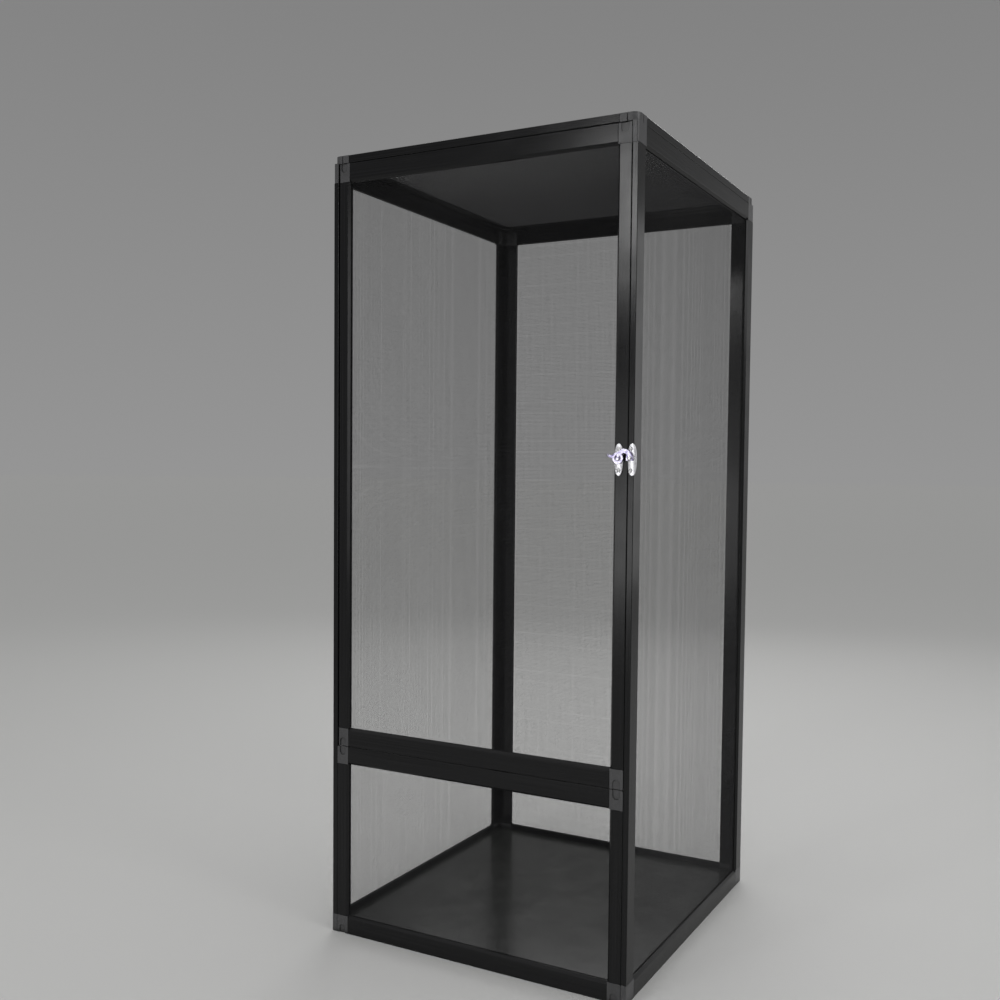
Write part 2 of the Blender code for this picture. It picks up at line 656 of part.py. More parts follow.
def countersunk_hole(place):
    """The cut for a screw: its clearance hole and the cone its head sits in."""
    slope = (SCREW_HEAD_RADIUS - SCREW_RADIUS) / SCREW_HEAD_DEPTH
    past = PLATE_THICKNESS / 2
    narrow = SCREW_RADIUS + SCREW_CLEARANCE
    wide = SCREW_HEAD_RADIUS + SCREW_CLEARANCE + slope * past
    return turned([
        (0, 0), (narrow, 0), (narrow, PLATE_FRONT - SCREW_HEAD_DEPTH),
        (wide, PLATE_FRONT + past), (0, PLATE_FRONT + past),
    ], centre=place)


def face_smooth(piece, degrees=35):
    piece.data.shade_smooth()
    piece.data.set_sharp_from_angle(angle=math.radians(degrees))


def latch_plate(name, middle, post_radius, head_radius, parent, location, slotted):
    """A plate with two countersunk holes and a headed post."""
    plate = add_object(name, prism([plate_outline(middle)], PLATE_THICKNESS, base=SEAT_GAP), "bright_plate",
                       parent, location)
    combine(plate, [headed_post(post_radius, head_radius, PLATE_THICKNESS / 2)], "UNION")
    cuts = [countersunk_hole(place) for place in screw_places()]
    if slotted:
        cuts.append(head_slot(head_radius))
    combine(plate, cuts, "DIFFERENCE")
    moved_mesh(plate, axes((1, 0, 0), (0, 0, 1), (0, -1, 0)))
    face_smooth(plate)


def latch_screw(name, place, parent, location):
    """A countersunk screw with a cross slot, through the plate into the bar behind it."""
    front = PLATE_FRONT - SEAT_GAP / 2
    neck = front - SCREW_HEAD_DEPTH
    screw = add_object(name, turned([
        (0, neck - SCREW_LENGTH), (SCREW_RADIUS * 0.5, neck - SCREW_LENGTH),
        (SCREW_RADIUS, neck - SCREW_LENGTH + SCREW_RADIUS), (SCREW_RADIUS, neck),
        (SCREW_HEAD_RADIUS, front), (0, front),
    ], 16), "steel", parent, location)
    arm, half = SCREW_HEAD_RADIUS * 0.6, SCREW_HEAD_RADIUS * 0.14
    depth = SCREW_HEAD_DEPTH * 0.5
    cross = [(half, half), (arm, half), (arm, -half), (half, -half), (half, -arm), (-half, -arm),
             (-half, -half), (-arm, -half), (-arm, half), (-half, half), (-half, arm), (half, arm)]
    combine(screw, [prism([cross], 2 * depth, base=front - depth)], "DIFFERENCE")
    moved_mesh(screw, axes((1, 0, 0), (0, 0, 1), (0, -1, 0), (0, 0, place[1])))
    face_smooth(screw)


def stroke(points, width):
    """Outline of a bent bar of one width along a line of points."""
    left, right = [], []
    for index, (x, y) in enumerate(points):
        before = points[max(index - 1, 0)]
        after = points[min(index + 1, len(points) - 1)]
        along = Vector((after[0] - before[0], after[1] - before[1])).normalized()
        left.append((x - along.y * width / 2, y + along.x * width / 2))
        right.append((x + along.y * width / 2, y - along.x * width / 2))
    return left + right[::-1]


def claw_pad():
    """The wide end of the hook over the peg, with its lower corners rounded."""
    near = PEG_DISTANCE - CLAW_NEAR
    far = PEG_DISTANCE + CLAW_FAR
    low = -CLAW_DROP + CLAW_ROUND
    outline = arc((near + CLAW_ROUND, low), CLAW_ROUND, 180, 270, 4)
    outline += arc((far - CLAW_ROUND, low), CLAW_ROUND, 270, 360, 4)
    return outline + arc(((near + far) / 2, HOOK_ARCH_RISE), (far - near) / 2, 0, 180, 10)


def claw_notch():
    """The mouth of the claw: round over the peg, with sides that turn about the pivot."""
    room = PEG_RADIUS + PEG_CLEARANCE
    near = arc((0, 0), PEG_DISTANCE - room, -4, -20, 3)
    far = arc((0, 0), PEG_DISTANCE + room, -16, -4, 3)
    return arc((PEG_DISTANCE, 0), room, 0, 180, 12) + near + far


def latch_hook(axis):
    """The swinging hook: a bored boss, an arch to a claw over the peg, and a knob to push."""
    arch_radius = (PEG_DISTANCE - HOOK_ARCH_START) / 2
    arch = arc((PEG_DISTANCE - arch_radius, HOOK_ARCH_RISE), arch_radius, 180, 0, 14)
    tail = [(0, 0), (-KNOB_REACH, KNOB_RISE)]
    outlines = [
        circle((0, 0), HOOK_BOSS_RADIUS),
        stroke(arch, HOOK_ARM_WIDTH),
        claw_pad(),
        stroke(tail, HOOK_ARM_WIDTH * 0.5),
    ]
    holes = [circle((0, 0), POST_RADIUS + POST_CLEARANCE), claw_notch()]
    hook = add_object("latch_hook", prism(outlines, HOOK_THICKNESS, holes, HOOK_BACK), "bright_plate", axis)
    knob = bmesh.new()
    bmesh.ops.create_uvsphere(knob, u_segments=16, v_segments=10, radius=KNOB_RADIUS)
    bmesh.ops.translate(knob, vec=(-KNOB_REACH, KNOB_RISE, (HOOK_BACK + HOOK_FRONT) / 2), verts=knob.verts)
    combine(hook, [knob], "UNION")
    moved_mesh(hook, axes((1, 0, 0), (0, 0, 1), (0, -1, 0)))
    face_smooth(hook)


def latch(door_axis):
    """The latch plate and its hook ride on the door; the keeper sits on the side frame."""
    on_door = (LATCH_X - HINGE_X, -HALF_DEPTH - HINGE_Y, LATCH_HEIGHT)
    latch_plate("latch_plate", 0, POST_RADIUS, POST_HEAD_RADIUS, door_axis, on_door, slotted=True)
    hook_axis = add_empty("latch_axis", on_door)
    hook_axis.parent = door_axis
    latch_hook(hook_axis)
    at_keeper = (KEEPER_X, -HALF_DEPTH, LATCH_HEIGHT)
    latch_plate("latch_keeper", KEEPER_OVERHANG, PEG_RADIUS, PEG_HEAD_RADIUS, None, at_keeper, slotted=False)
    for level, place in zip(("upper", "lower"), screw_places()):
        latch_screw(f"latch_{level}_screw", place, door_axis, on_door)
        latch_screw(f"keeper_{level}_screw", place, None, at_keeper)
    bore_stile("door_latch_stile", LATCH_X)
    bore_stile("right_front_stile", KEEPER_X)


def bore_stile(name, x):
    """Screw holes through the front wall of a stile, cut where the plate's holes lie."""
    stile = bpy.data.objects[name]
    bpy.context.view_layer.update()
    holes = []
    for _, rise in screw_places():
        bore = circle((0, 0), SCREW_RADIUS + SCREW_CLEARANCE, 16)
        hole = prism([bore], SECTION_WALL * 3, base=-SECTION_WALL * 2)
        matrix = axes((1, 0, 0), (0, 0, 1), (0, -1, 0), (x, -HALF_DEPTH, LATCH_HEIGHT + rise))
        holes.append(moved(hole, stile.matrix_world.inverted() @ matrix))
    combine(stile, holes, "DIFFERENCE")


def clear_scene():
    for item in list(bpy.data.objects):
        bpy.data.objects.remove(item)


def build():
    clear_scene()
    side_panel("left")
    side_panel("right")
    back_panel()
    lid_panel()
    lower_panel()
    cage_corners()
    floor_board()
    door_axis = door_panel()
    hinge_pins()
    latch(door_axis)


build()
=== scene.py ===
import json
import math

import bmesh
import bpy
from mathutils import Matrix, Vector, geometry


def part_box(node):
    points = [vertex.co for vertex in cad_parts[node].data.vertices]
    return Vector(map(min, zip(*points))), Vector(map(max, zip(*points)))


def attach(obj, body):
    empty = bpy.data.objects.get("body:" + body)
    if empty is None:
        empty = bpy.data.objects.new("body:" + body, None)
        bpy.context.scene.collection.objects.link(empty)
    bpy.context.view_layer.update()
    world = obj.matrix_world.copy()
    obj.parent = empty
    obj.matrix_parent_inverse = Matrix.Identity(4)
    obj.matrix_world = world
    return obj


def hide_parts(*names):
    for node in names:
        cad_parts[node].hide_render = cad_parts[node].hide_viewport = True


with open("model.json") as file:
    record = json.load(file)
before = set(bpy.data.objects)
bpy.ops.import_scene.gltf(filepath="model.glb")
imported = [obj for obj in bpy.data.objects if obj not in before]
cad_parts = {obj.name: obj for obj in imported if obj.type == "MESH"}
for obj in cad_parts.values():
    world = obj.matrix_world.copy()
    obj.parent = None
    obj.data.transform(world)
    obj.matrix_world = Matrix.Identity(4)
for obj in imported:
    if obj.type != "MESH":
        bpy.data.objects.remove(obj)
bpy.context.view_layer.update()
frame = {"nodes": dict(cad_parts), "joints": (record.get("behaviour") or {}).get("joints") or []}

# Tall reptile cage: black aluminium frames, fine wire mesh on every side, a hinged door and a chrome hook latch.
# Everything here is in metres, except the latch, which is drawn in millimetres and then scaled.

mm = 0.001


# Materials. Each finish is a small node graph with its numbers in a dictionary: colours, sizes of the noises as
# Blender's noise scale, and the strength and depth in metres of the bump.

noiseSpan = (0.3, 0.7)    # the part of a noise's range that goes from one colour or roughness to the other
anodised = {
    "colour": (0.0075, 0.0075, 0.0080),
    "worn": (0.0170, 0.0170, 0.0180),    # the paler streaks of the drawn surface
    "wornSpan": (0.42, 0.78),
    "specular": 0.22,
    "roughness": (0.14, 0.20),
    "streaks": 900,
    "stretch": 0.004,    # scale of the streaks along the bar, against 1 across it
    "clouds": 22,
    "bump": 0.10,
    "bumpDepth": 0.00004,
}
moulded = {
    "colour": (0.054, 0.054, 0.056),
    "pale": (0.070, 0.070, 0.073),
    "specular": 0.60,
    "roughness": (0.30, 0.44),
    "clouds": 35,
    "grain": 2600,
    "bump": 0.18,
    "bumpDepth": 0.00006,
    "creviceReach": 0.007,    # how far from a step or gap the painted shade spreads
    "creviceShade": 0.12,    # what is left of the colour in the deepest of the painted shade
    "creviceSpan": (0.55, 0.97),
}
coating = {
    "colour": (0.026, 0.026, 0.027),
    "pale": (0.040, 0.040, 0.042),
    "specular": 0.35,
    "roughness": (0.45, 0.60),
    "clouds": 35,
}
rubber = {
    "colour": (0.012, 0.012, 0.012),
    "pale": (0.020, 0.020, 0.020),
    "specular": 0.30,
    "roughness": (0.65, 0.80),
    "clouds": 35,
    "grain": 1200,
    "bump": 0.10,
    "bumpDepth": 0.00006,
}
laminate = {
    "colour": (0.020, 0.021, 0.020),
    "pale": (0.028, 0.029, 0.027),
    "specular": 0.22,
    "roughness": (0.17, 0.22),
    "clouds": 35,
    "grain": 320,
    "bump": 0.05,
    "bumpDepth": 0.0003,
}
chrome = {
    # the darker, slightly violet patches are partly painted shade, partly the plating's unevenness
    "colour": (0.72, 0.71, 0.76),
    "pale": (0.90, 0.90, 0.92),
    "roughness": (0.22, 0.36),
    "smearAndPaintedShade": 420,
    "ripple": 260,
    "bump": 0.12,
    "bumpDepth": 0.0002,
}
hookChrome = {
    "colour": (0.17, 0.14, 0.31),    # painted shade and reflection: dark violet patches that stand in for the dark reflections and shade on the hook
    "pale": (0.72, 0.70, 0.79),
    "roughness": (0.10, 0.22),
    "smearAndPaintedShade": 300,
    "ripple": 240,
    "bump": 0.34,
    "bumpDepth": 0.0002,
}
zincSteel = {
    "colour": (0.42, 0.42, 0.43),
    "pale": (0.62, 0.62, 0.62),
    "roughness": (0.24, 0.38),
    "smearAndPaintedShade": 420,
    "ripple": 900,
    "bump": 0.15,
    "bumpDepth": 0.0002,
}


def startMaterial(name, metallic=0.0, specular=0.5):
    material = bpy.data.materials.new(name)
    material.use_nodes = True
    shader = material.node_tree.nodes["Principled BSDF"]
    shader.inputs["Metallic"].default_value = metallic
    shader.inputs["Specular IOR Level"].default_value = specular
    return material, material.node_tree, shader


def addNoise(tree, scale, detail=3.0, stretch=(1, 1, 1)):
    place = tree.nodes.new("ShaderNodeTexCoord")
    mapping = tree.nodes.new("ShaderNodeMapping")
    mapping.inputs["Scale"].default_value = stretch
    noise = tree.nodes.new("ShaderNodeTexNoise")
    noise.inputs["Scale"].default_value = scale
    noise.inputs["Detail"].default_value = detail
    tree.links.new(place.outputs["Object"], mapping.inputs["Vector"])
    tree.links.new(mapping.outputs["Vector"], noise.inputs["Vector"])
    return noise.outputs["Fac"]


def addRange(tree, value, low, high, span=noiseSpan):
    spread = tree.nodes.new("ShaderNodeMapRange")
    spread.inputs["From Min"].default_value = span[0]
    spread.inputs["From Max"].default_value = span[1]
    spread.inputs["To Min"].default_value = low
    spread.inputs["To Max"].default_value = high
    tree.links.new(value, spread.inputs["Value"])
    return spread.outputs["Result"]


def addColours(tree, value, dark, pale, span=noiseSpan):
    ramp = tree.nodes.new("ShaderNodeValToRGB")
    for element, place, colour in zip(ramp.color_ramp.elements, span, (dark, pale)):
        element.position = place
        element.color = (*colour, 1)
    tree.links.new(value, ramp.inputs["Fac"])
    return ramp.outputs["Color"]


def addBump(tree, value, look, shader):
    bump = tree.nodes.new("ShaderNodeBump")
    bump.inputs["Strength"].default_value = look["bump"]
    bump.inputs["Distance"].default_value = look["bumpDepth"]
    tree.links.new(value, bump.inputs["Height"])
    tree.links.new(bump.outputs["Normal"], shader.inputs["Normal"])


def addPaintedCreviceShade(tree, colour, look):
    # painted shade: the colour is darkened by ambient occlusion in recesses and along gaps, where shade falls
    crevice = tree.nodes.new("ShaderNodeAmbientOcclusion")
    crevice.inputs["Distance"].default_value = look["creviceReach"]
    shade = addRange(tree, crevice.outputs["AO"], look["creviceShade"], 1.0, look["creviceSpan"])
    scale = tree.nodes.new("ShaderNodeVectorMath")
    scale.operation = "SCALE"
    tree.links.new(colour, scale.inputs[0])
    tree.links.new(shade, scale.inputs["Scale"])
    return scale.outputs["Vector"]


def anodisedMaterial(along):
    # satin black aluminium, with drawing lines along the bar's axis
    material, tree, shader = startMaterial("anodised_" + "xyz"[along], specular=anodised["specular"])
    stretch = [1, 1, 1]
    stretch[along] = anodised["stretch"]
    streaks = addNoise(tree, anodised["streaks"], 4.0, stretch)
    clouds = addNoise(tree, anodised["clouds"])
    colour = addColours(tree, streaks, anodised["colour"], anodised["worn"], anodised["wornSpan"])
    tree.links.new(colour, shader.inputs["Base Color"])
    tree.links.new(addRange(tree, clouds, *anodised["roughness"]), shader.inputs["Roughness"])
    addBump(tree, streaks, anodised, shader)
    return material


def grainMaterial(name, look):
    # a clouded colour, with fine grain where the look has it, for moulded, coated and laminated pieces
    material, tree, shader = startMaterial(name, specular=look["specular"])
    clouds = addNoise(tree, look["clouds"], 4.0)
    colour = addColours(tree, clouds, look["colour"], look["pale"])
    # painted shade in recesses and along gaps, for the looks that have it
    if "creviceReach" in look:
        colour = addPaintedCreviceShade(tree, colour, look)
    tree.links.new(colour, shader.inputs["Base Color"])
    tree.links.new(addRange(tree, clouds, *look["roughness"]), shader.inputs["Roughness"])
    if "grain" in look:
        addBump(tree, addNoise(tree, look["grain"], 2.0), look, shader)
    return material


def metalMaterial(name, look):
    # bright plated metal, slightly uneven as a casting is; on the latch's chrome the darker, violet patches of
    # the colour are also painted shade and dark reflections
    material, tree, shader = startMaterial(name, metallic=1.0)
    smearAndPaintedShade = addNoise(tree, look["smearAndPaintedShade"], 4.0)
    tree.links.new(addColours(tree, smearAndPaintedShade, look["colour"], look["pale"]), shader.inputs["Base Color"])
    tree.links.new(addRange(tree, smearAndPaintedShade, *look["roughness"]), shader.inputs["Roughness"])
    addBump(tree, addNoise(tree, look["ripple"]), look, shader)
    return material


barMaterials = [anodisedMaterial(along) for along in range(3)]
mouldedMaterial = grainMaterial("moulded_plastic", moulded)
coatingMaterial = grainMaterial("coated_wire", coating)
rubberMaterial = grainMaterial("spline_rubber", rubber)
laminateMaterial = grainMaterial("board_laminate", laminate)
chromeMaterial = metalMaterial("latch_chrome", chrome)
hookMaterial = metalMaterial("hook_chrome", hookChrome)
steelMaterial = metalMaterial("zinc_steel", zincSteel)
print("materials made")


# Pieces

def addObject(name, data):
    piece = bpy.data.objects.new(name, data)
    bpy.context.scene.collection.objects.link(piece)
    return piece


def addPiece(name, vertices, faces, material):
    # a smooth piece from plain lists
    mesh = bpy.data.meshes.new(name)
    mesh.from_pydata(vertices, [], faces)
    mesh.materials.append(material)
    mesh.shade_smooth()
    return addObject(name, mesh)


def addScratch(name, form):
    # the form as an object; it is used up
    mesh = bpy.data.meshes.new(name)
    form.to_mesh(mesh)
    form.free()
    return addObject(name, mesh)


def removeScratch(holder):
    mesh = holder.data
    bpy.data.objects.remove(holder)
    bpy.data.meshes.remove(mesh)


def addForm(name, form, material, place=Matrix(), smoothDegrees=None):
    # a piece from a form, carried to its place, sharp at edges over the angle or flat all over
    bmesh.ops.recalc_face_normals(form, faces=form.faces)
    form.transform(place)
    piece = addScratch(name, form)
    piece.data.materials.append(material)
    if smoothDegrees is not None:
        piece.data.shade_smooth()
        piece.data.set_sharp_from_angle(angle=math.radians(smoothDegrees))
    return piece


# Bars, corner pieces, board and hinge pins keep their solids: their edges are softened and they get their finish.

softening = {
    "bar": 0.00028,    # edge radius of the drawn bars
    "lid": 0.0012,    # and of the lid's, which are rounder
    "corner": 0.00045,
    "board": 0.0004,
    "pin": 0.00010,
    "steps": 2,
    "weld": 0.00001,
    "flatDegrees": 1,    # faces that turn less than this are one face
    "edgeDegrees": 32,    # edges that turn more than this are softened
}


def soften(piece, radius):
    weld = piece.modifiers.new("weld", "WELD")
    weld.merge_threshold = softening["weld"]
    flat = piece.modifiers.new("flat", "DECIMATE")
    flat.decimate_type = "DISSOLVE"
    flat.angle_limit = math.radians(softening["flatDegrees"])
    bevel = piece.modifiers.new("edges", "BEVEL")
    bevel.width = radius
    bevel.segments = softening["steps"]
    bevel.limit_method = "ANGLE"
    bevel.angle_limit = math.radians(softening["edgeDegrees"])
    bevel.harden_normals = True
    bevel.use_clamp_overlap = True


def dressFrame():
    for name, piece in frame["nodes"].items():
        low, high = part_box(name)
        size = high - low
        if name.endswith(("stile", "rail")):
            longest = max(range(3), key=lambda axis: size[axis])
            material, kind = barMaterials[longest], "lid" if name.startswith("lid") else "bar"
        elif name.endswith("corner"):
            material, kind = mouldedMaterial, "corner"
        elif name == "floor_board":
            material, kind = laminateMaterial, "board"
        elif name.endswith("pin"):
            material, kind = steelMaterial, "pin"
        else:
            continue
        piece.data.materials.clear()
        piece.data.materials.append(material)
        soften(piece, softening[kind])


dressFrame()
print("bars, corner pieces, board and pins finished")


# Wire mesh: straight wires both ways, held by a rubber spline in the slots of the bars.

wallWeave = {"pitch": 0.00155, "thickness": 0.00015}
lidWeave = {"pitch": 0.00115, "thickness": 0.00034}    # closer and heavier
wireCloth = {
    "sides": 6,
    "nearness": 0.9,    # how close the two layers of wires lie, against just touching
    "splineRadius": 0.0010,
    "splineSides": 10,
    "splineInset": 0.0022,    # from the sheet's edge to the middle of the cord
    "splineTurn": 0.0030,    # radius of the cord's bends in the corners
    "splineTurnSteps": 6,
}
meshPanels = {    # for each screen: its name here, its body, the axis that it faces and its weave
    "left_screen": ("left", "frame", 0, wallWeave),
    "right_screen": ("right", "frame", 0, wallWeave),
    "back_screen": ("back", "frame", 1, wallWeave),
    "lower_screen": ("lower", "frame", 1, wallWeave),
    "lid_screen": ("lid", "frame", 2, lidWeave),
    "door_screen": ("door", "door", 1, wallWeave),
}


def addTube(points, radius, sides, vertices, faces, across, closed=False):
    # a round tube through the points; across is a direction that none of its stretches follows
    rings = []
    count = len(points)
    for index, point in enumerate(points):
        before = points[index - 1] if index > 0 or closed else point
        after = points[(index + 1) % count] if index < count - 1 or closed else point
        along = (after - before).normalized()
        side = along.cross(across).normalized()
        up = side.cross(along)
        start = len(vertices)
        for step in range(sides):
            angle = 2 * math.pi * step / sides
            vertices.append(point + radius * (math.cos(angle) * side + math.sin(angle) * up))
        rings.append(range(start, start + sides))
    pairs = list(zip(rings, rings[1:])) + ([(rings[-1], rings[0])] if closed else [])
    for near, far in pairs:
        for step in range(sides):
            faces.append((near[step - 1], near[step], far[step], far[step - 1]))
    if not closed:
        faces.append(tuple(rings[0]))
        faces.append(tuple(reversed(rings[-1])))


def weaveSheet(low, high, facing, weave, vertices, faces):
    # wires along both axes of the sheet, the two layers lying on each other
    flat = [axis for axis in range(3) if axis != facing]
    middle = (low[facing] + high[facing]) / 2
    pitch, radius = weave["pitch"], weave["thickness"] / 2
    normal = Vector((0, 0, 0))
    normal[facing] = 1
    for across, layer in ((flat[1], 1), (flat[0], -1)):
        count = int((high[across] - low[across]) / pitch)
        first = (low[across] + high[across] - (count - 1) * pitch) / 2
        for index in range(count):
            start, end = Vector(low), Vector(high)
            for point in (start, end):
                point[across] = first + index * pitch
                point[facing] = middle + layer * radius * wireCloth["nearness"]
            addTube([start, end], radius, wireCloth["sides"], vertices, faces, normal)


def splineLoop(low, high, facing):
    # the cord's path round the sheet, with rounded corners
    flat = [axis for axis in range(3) if axis != facing]
    inset, turn, steps = wireCloth["splineInset"], wireCloth["splineTurn"], wireCloth["splineTurnSteps"]
    points = []
    for index, (right, top) in enumerate(((1, 1), (0, 1), (0, 0), (1, 0))):
        for step in range(steps + 1):
            angle = math.radians(90 * (index + step / steps))
            point = Vector((0, 0, 0))
            point[facing] = (low[facing] + high[facing]) / 2
            for axis, far, reach in ((flat[0], right, math.cos(angle)), (flat[1], top, math.sin(angle))):
                edge = high[axis] - inset - turn if far else low[axis] + inset + turn
                point[axis] = edge + turn * reach
            points.append(point)
    return points


def makeScreen(node, name, body, facing, weave):
    low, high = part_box(node)
    vertices, faces = [], []
    weaveSheet(low, high, facing, weave, vertices, faces)
    sheet = addPiece(name + "Mesh", vertices, faces, coatingMaterial)
    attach(sheet, body)
    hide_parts(node)
    normal = Vector((0, 0, 0))
    normal[facing] = 1
    radius, sides = wireCloth["splineRadius"], wireCloth["splineSides"]
    vertices, faces = [], []
    addTube(splineLoop(low, high, facing), radius, sides, vertices, faces, normal, closed=True)
    cord = addPiece(name + "Spline", vertices, faces, rubberMaterial)
    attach(cord, body)


for screenNode, screenValues in meshPanels.items():
    makeScreen(screenNode, *screenValues)
print("wire mesh and splines made")


# Hook latch. It is drawn face on in millimetres: x to the right, y up, z out from the door's face. The hook, its
# post and its plate are drawn about the pivot, the keeper's plate and peg about the peg.

latch = {
    "plateLength": 36.0,
    "plateWidth": 10.5,
    "plateFull": 0.30,    # how much fuller than an oval the plates are towards their ends
    "plateBack": 0.3,
    "plateFront": 1.9,
    "plateDome": 0.5,    # how much lower the plate's long edges are than its middle
    "hookBack": 2.2,
    "hookFront": 4.8,
    "headBack": 5.1,
    "headFront": 6.2,
    "headEdge": 0.3,    # radius of the head's rim, and how far it lies below the middle
    "headDrop": 0.25,
    "headDome": ((0.6, 0.08), (0.3, 0.02), (0, 0)),    # share of the head's radius, depth below its middle
    "bossRadius": 6.6,
    "bore": 2.1,
    "armWidth": 5.0,
    "archStart": 0.8,    # from the pivot to the near end of the arch
    "archRise": 1.0,
    "clawNear": 4.4,
    "clawFar": 3.5,
    "clawDrop": 3.2,
    "clawRound": 1.1,
    "notch": 1.8,    # radius of the claw's mouth over the peg
    "mouthTop": -4,    # degrees about the pivot, from where the mouth opens down to its near and far ends
    "mouthNear": -20,
    "mouthFar": -16,
    "knob": (-12.2, 2.8),
    "knobRadius": 1.9,
    "tailWidths": (4.4, 2.3),
    "pivotRadius": 2.0,
    "pivotHead": 3.6,
    "pegRadius": 1.5,
    "pegHead": 2.6,
    "postFoot": 1.0,
    "slotWidth": 0.95,
    "slotDepth": 0.6,
    "slotTurn": 50,
    "voxel": 0.16,
    "rounding": 9,    # rounds of smoothing of the castings
}
screwHead = {
    "radius": 2.05,
    "gap": 0.12,    # between the head and its hole in the plate
    "back": -1.2,
    "front": 1.9,
    "shank": 0.5,    # share of the head's radius
    "cone": 1.1,    # depth of the head's cone
    "rim": ((1, 0.22), (1, 0.14), (0.92, 0.05), (0.6, 0.01), (0, 0)),    # share of the radius, depth
    "arm": 1.25,    # length and width of the cross's arms
    "armWidth": 0.42,
    "armTaper": 0.55,    # size of the cross at its floor, against the top
    "depth": 0.7,
}
arcSteps = {"plate": 96, "hole": 32, "turned": 48, "screw": 40, "boss": 48, "arch": 28, "claw": 20, "mouth": 16,
            "corner": 6, "path": 4, "crown": 4}

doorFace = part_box("door_latch_stile")[0].y
pivotPlace = Vector(next(joint for joint in frame["joints"] if joint["name"] == "hook_pivot")["pos_m"])
pegPlace = sum(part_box("keeper_upper_screw"), Vector()) / 2
pegOffset = (pegPlace.x - pivotPlace.x) / mm


def latchMatrix(x, z):
    # takes the latch's face-on millimetres to a place on the door's face
    upright = Matrix(((1, 0, 0), (0, 0, -1), (0, 1, 0))).to_4x4()
    return Matrix.Translation((x, doorFace, z)) @ upright @ Matrix.Scale(mm, 4)


def arcPoints(centre, radius, start, end, steps):
    angles = [math.radians(start + (end - start) * step / steps) for step in range(steps + 1)]
    return [(centre[0] + radius * math.cos(angle), centre[1] + radius * math.sin(angle)) for angle in angles]


def circlePoints(centre, radius, steps):
    return arcPoints(centre, radius, 0, 360, steps)[:-1]


def flatForm(outlines, holes, back, front):
    # one solid over the joined outlines, less the holes
    points, loops = [], []
    for loop in outlines + holes:
        area = sum(loop[i - 1][0] * loop[i][1] - loop[i][0] * loop[i - 1][1] for i in range(len(loop)))
        loops.append(list(range(len(points), len(points) + len(loop))))
        points += [Vector(point) for point in (loop if area > 0 else loop[::-1])]
    flat = geometry.delaunay_2d_cdt(points, [], loops, 1, 1e-6)
    form = bmesh.new()
    corners = [form.verts.new((point.x, point.y, back)) for point in flat[0]]
    for triangle, inside in zip(flat[2], flat[5]):
        if inside and max(inside) < len(outlines):
            form.faces.new([corners[i] for i in triangle])
    bmesh.ops.delete(form, geom=[corner for corner in corners if not corner.link_faces], context="VERTS")
    grown = bmesh.ops.extrude_face_region(form, geom=form.faces[:])["geom"]
    top = [item for item in grown if isinstance(item, bmesh.types.BMVert)]
    bmesh.ops.translate(form, verts=top, vec=(0, 0, front - back))
    bmesh.ops.recalc_face_normals(form, faces=form.faces)
    return form


def turnedForm(profile, sides):
    # a turned solid about z; the profile runs from axis to axis as (radius, height)
    form = bmesh.new()
    rings = []
    for radius, height in profile:
        points = circlePoints((0, 0), radius, sides) if radius else [(0, 0)]
        rings.append([form.verts.new((x, y, height)) for x, y in points])
    for low, high in zip(rings, rings[1:]):
        for i in range(sides):
            below = [low[i - 1], low[i]] if len(low) > 1 else low
            above = [high[i], high[i - 1]] if len(high) > 1 else high
            form.faces.new(below + above)
    bmesh.ops.recalc_face_normals(form, faces=form.faces)
    return form


def worked(form, steps):
    # the form after some modifiers, given as (type, settings) pairs
    holder = addScratch("worked", form)
    for kind, settings in steps:
        change = holder.modifiers.new(kind.lower(), kind)
        for key, value in settings.items():
            setattr(change, key, value)
    graph = bpy.context.evaluated_depsgraph_get()
    result = bmesh.new()
    result.from_object(holder, graph)
    removeScratch(holder)
    return result


def cutBy(form, cutter):
    bmesh.ops.recalc_face_normals(cutter, faces=cutter.faces)
    holder = addScratch("cutter", cutter)
    result = worked(form, [("BOOLEAN", {"operation": "DIFFERENCE", "object": holder})])
    removeScratch(holder)
    return result


def castForm(form):
    # remeshed and smoothed, so that all its edges are as round as a casting's
    return worked(form, [
        ("REMESH", {"mode": "VOXEL", "voxel_size": latch["voxel"]}),
        ("SMOOTH", {"factor": 0.5, "iterations": latch["rounding"]}),
    ])


def plateForm(middle, height, screwPlaces):
    # a long oval plate about its middle and height, with a hole for each screw
    outline = []
    for x, y in circlePoints((0, 0), 1, arcSteps["plate"]):
        width = latch["plateWidth"] / 2 * (1 + latch["plateFull"] * y * y)
        outline.append((middle + width * x, height + latch["plateLength"] / 2 * y))
    holeRadius = screwHead["radius"] + screwHead["gap"]
    holes = [circlePoints(place, holeRadius, arcSteps["hole"]) for place in screwPlaces]
    form = castForm(flatForm([outline], holes, latch["plateBack"], latch["plateFront"]))
    half = latch["plateWidth"] / 2
    span = latch["plateFront"] - latch["plateBack"]
    for corner in form.verts:
        lift = (corner.co.z - latch["plateBack"]) / span
        corner.co.z -= latch["plateDome"] * lift * ((corner.co.x - middle) / half) ** 2
    return form


def headedForm(radius, head, slotted=False):
    # a post with a slightly domed head, and a slot for a screwdriver if wanted
    foot, back, front = latch["postFoot"], latch["headBack"], latch["headFront"]
    edge = latch["headEdge"]
    crown = arcPoints((head - edge, front - edge - latch["headDrop"]), edge, 0, 90, arcSteps["crown"])
    dome = [(head * share, front - depth) for share, depth in latch["headDome"]]
    profile = [(0, foot), (radius, foot), (radius, back), (head, back), *crown, *dome]
    form = turnedForm(profile, arcSteps["turned"])
    if not slotted:
        return form
    slot = bmesh.new()
    bmesh.ops.create_cube(slot, size=1.0)
    bmesh.ops.scale(slot, vec=(head * 3, latch["slotWidth"], latch["slotDepth"] * 2), verts=slot.verts)
    bmesh.ops.rotate(slot, matrix=Matrix.Rotation(math.radians(latch["slotTurn"]), 3, "Z"), verts=slot.verts)
    bmesh.ops.translate(slot, vec=(0, 0, front), verts=slot.verts)
    return cutBy(form, slot)


